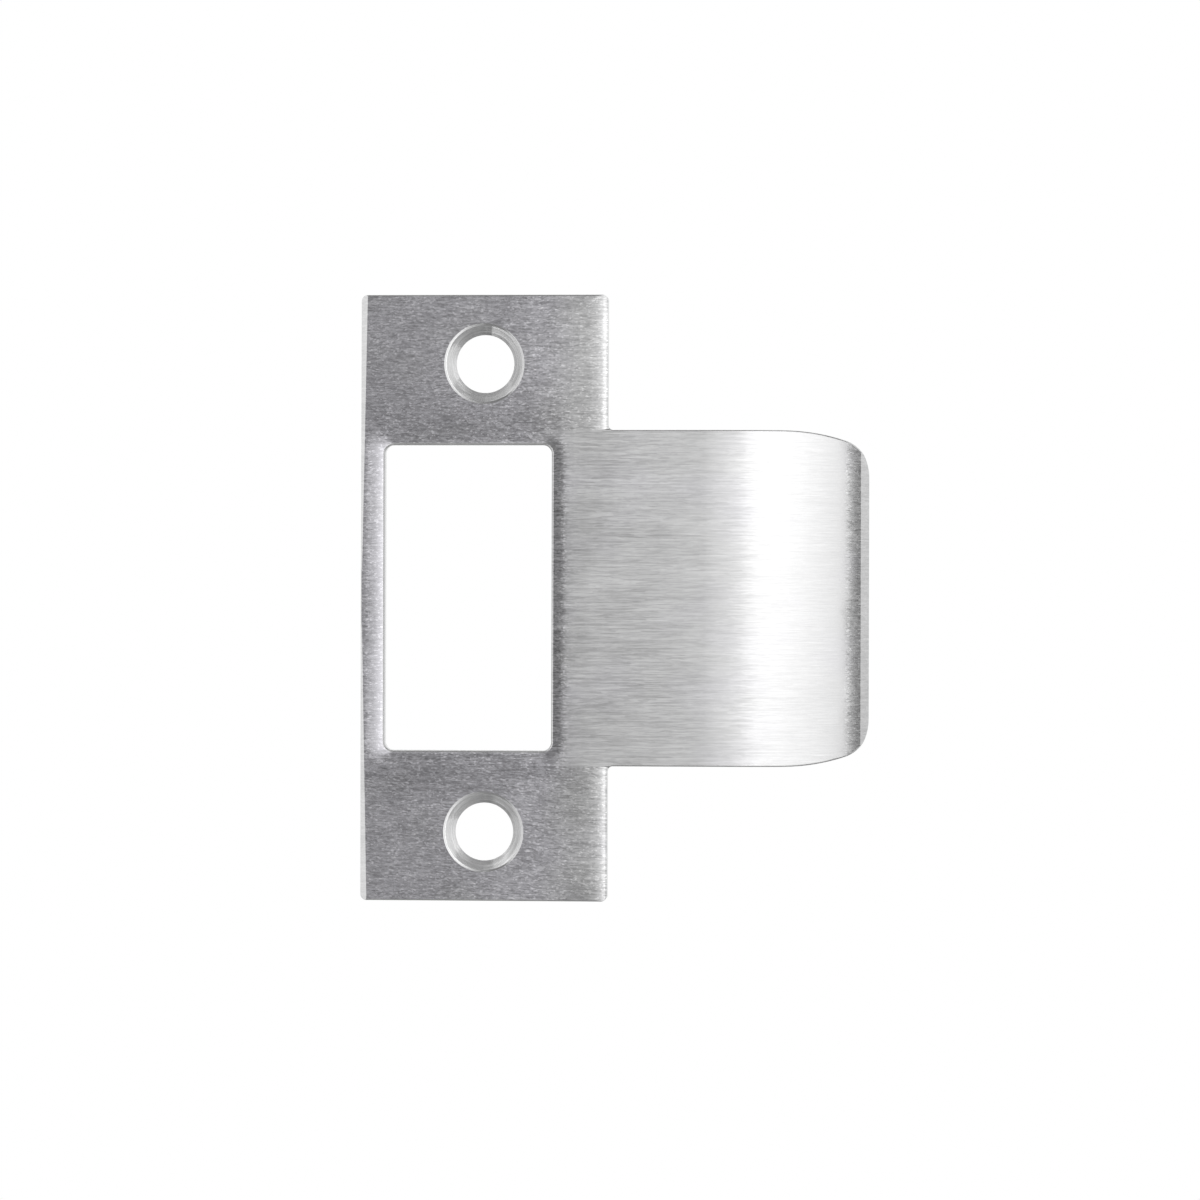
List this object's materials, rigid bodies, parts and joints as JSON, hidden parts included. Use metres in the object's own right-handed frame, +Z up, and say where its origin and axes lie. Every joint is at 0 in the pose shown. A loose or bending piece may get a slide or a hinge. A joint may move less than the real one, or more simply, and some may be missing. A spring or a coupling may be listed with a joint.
{
  "type": "door strike plate",
  "caption": "Flat T-shaped door strike plate in brushed steel with a rectangular latch opening, countersunk screw holes and a long lip that curls back to guide the latch.",
  "frame": {"origin": "midpoint between the two screw holes, on the back face that lies against the jamb", "axes": "+X towards the lip, +Y from the front face into the jamb, +Z up along the plate's long side"},
  "size_m": [0.0585, 0.0064, 0.0698],
  "materials": {
    "satin_steel": "satin brushed along the lip's direction"
  },
  "bodies": {
    "root": {"strike_plate": "satin_steel"}
  },
  "joints": []
}
